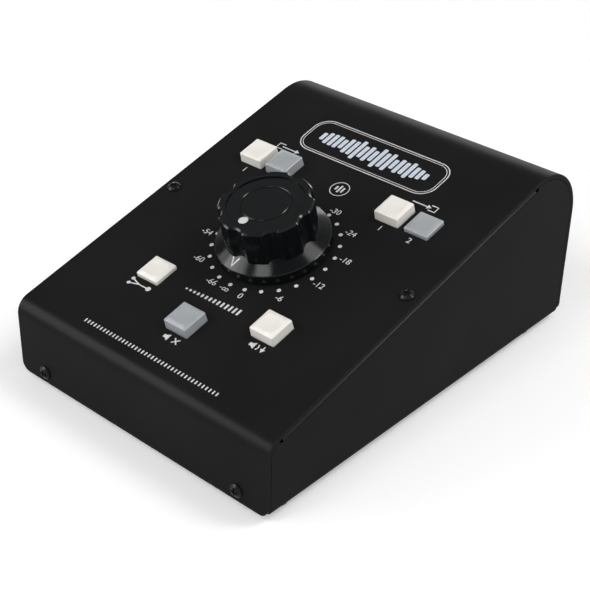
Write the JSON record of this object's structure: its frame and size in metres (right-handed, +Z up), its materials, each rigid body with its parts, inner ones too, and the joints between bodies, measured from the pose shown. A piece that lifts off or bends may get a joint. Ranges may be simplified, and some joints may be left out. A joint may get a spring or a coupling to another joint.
{
  "type": "studio monitor controller",
  "caption": "Wedge-shaped desktop level controller in folded black sheet steel, with a large fluted dial knob, square push buttons and plug sockets at the rear.",
  "frame": {"origin": "on the desk plane under the middle of the case, at the undersides of the feet", "axes": "+X to the right of someone facing the panel, +Y from the low front to the tall rear, +Z up; the panel rises 15 degrees towards +Y"},
  "size_m": [0.1406, 0.2004, 0.085],
  "materials": {
    "case_paint": "black powder coat, fine satin texture",
    "foot_rubber": "matt black rubber",
    "black_screw": "black zinc, low gloss",
    "bright_steel": "zinc plated",
    "nickel": "nickel plated, bright",
    "brass": "turned brass",
    "cast_housing": "plain die-cast",
    "board": "green solder mask",
    "chip_body": "black ceramic chip",
    "dark_moulding": "black moulded plastic",
    "grey_moulding": "grey moulded plastic",
    "ribbon_jacket": "grey flat-cable jacket",
    "jack_body": "black glass-filled nylon",
    "cap_white": "warm white moulded plastic, satin gloss",
    "cap_grey": "mid grey moulded plastic, satin gloss",
    "knob_gloss": "black phenolic, polished, white pointer marks"
  },
  "bodies": {
    "case": {"top_cover": "case_paint", "base_plate": "case_paint", "rubber_feet": "foot_rubber", "case_nuts": "bright_steel", "case_screws": "black_screw", "standoff_screws": "black_screw", "board_standoffs": "bright_steel", "board_screws": "bright_steel", "main_board": "board", "attenuator_housing": "cast_housing", "attenuator_washer": "bright_steel", "attenuator_nut": "bright_steel", "attenuator_deck": "board", "deck_spacers": "brass", "deck_screws": "bright_steel", "ladder_resistors": "chip_body", "jack_washers": "nickel", "jack_nuts": "nickel", "jack_board": "board", "board_headers": "dark_moulding", "ribbon_plugs": "grey_moulding", "ribbon_cable": "ribbon_jacket", "mono_switch": "dark_moulding", "mute_switch": "dark_moulding", "dim_switch": "dark_moulding", "output_1_switch": "dark_moulding", "output_2_switch": "dark_moulding", "input_1_switch": "dark_moulding", "input_2_switch": "dark_moulding", "jack_output_1_right": "jack_body", "jack_output_2_right": "jack_body", "jack_input_1_right": "jack_body", "jack_input_2_right": "jack_body", "jack_output_1_left": "jack_body", "jack_output_2_left": "jack_body", "jack_input_1_left": "jack_body", "jack_input_2_left": "jack_body"},
    "level_knob": {"knob": "knob_gloss", "knob_insert": "brass", "knob_set_screw": "black_screw", "attenuator_shaft": "bright_steel", "attenuator_rotor": "dark_moulding"},
    "mono_button": {"mono_cap": "cap_white", "mono_plunger": "grey_moulding"},
    "mute_button": {"mute_cap": "cap_grey", "mute_plunger": "grey_moulding"},
    "dim_button": {"dim_cap": "cap_white", "dim_plunger": "grey_moulding"},
    "output_1_button": {"output_1_cap": "cap_white", "output_1_plunger": "grey_moulding"},
    "output_2_button": {"output_2_cap": "cap_grey", "output_2_plunger": "grey_moulding"},
    "input_1_button": {"input_1_cap": "cap_white", "input_1_plunger": "grey_moulding"},
    "input_2_button": {"input_2_cap": "cap_grey", "input_2_plunger": "grey_moulding"}
  },
  "joints": [
    {"name": "level_turn", "type": "hinge", "parent": "case", "child": "level_knob", "pos_m": [0, -0.01762, 0.0576], "axis": [0, -0.2588, 0.9659], "range_deg": [-345, 0]},
    {"name": "mono_press", "type": "slide", "parent": "case", "child": "mono_button", "axis": [0, -0.2588, 0.9659], "range_m": [-0.0008, 0.0026]},
    {"name": "mute_press", "type": "slide", "parent": "case", "child": "mute_button", "axis": [0, -0.2588, 0.9659], "range_m": [-0.0034, 0], "stiffness_N_per_m": 500, "springref_m": 0.001},
    {"name": "dim_press", "type": "slide", "parent": "case", "child": "dim_button", "axis": [0, -0.2588, 0.9659], "range_m": [-0.0034, 0], "stiffness_N_per_m": 500, "springref_m": 0.001},
    {"name": "output_1_press", "type": "slide", "parent": "case", "child": "output_1_button", "axis": [0, -0.2588, 0.9659], "range_m": [-0.0034, 0], "stiffness_N_per_m": 500, "springref_m": 0.001},
    {"name": "output_2_press", "type": "slide", "parent": "case", "child": "output_2_button", "axis": [0, -0.2588, 0.9659], "range_m": [-0.0034, 0], "stiffness_N_per_m": 500, "springref_m": 0.001},
    {"name": "input_1_press", "type": "slide", "parent": "case", "child": "input_1_button", "axis": [0, -0.2588, 0.9659], "range_m": [-0.0034, 0], "stiffness_N_per_m": 500, "springref_m": 0.001},
    {"name": "input_2_press", "type": "slide", "parent": "case", "child": "input_2_button", "axis": [0, -0.2588, 0.9659], "range_m": [-0.0008, 0.0026]}
  ]
}
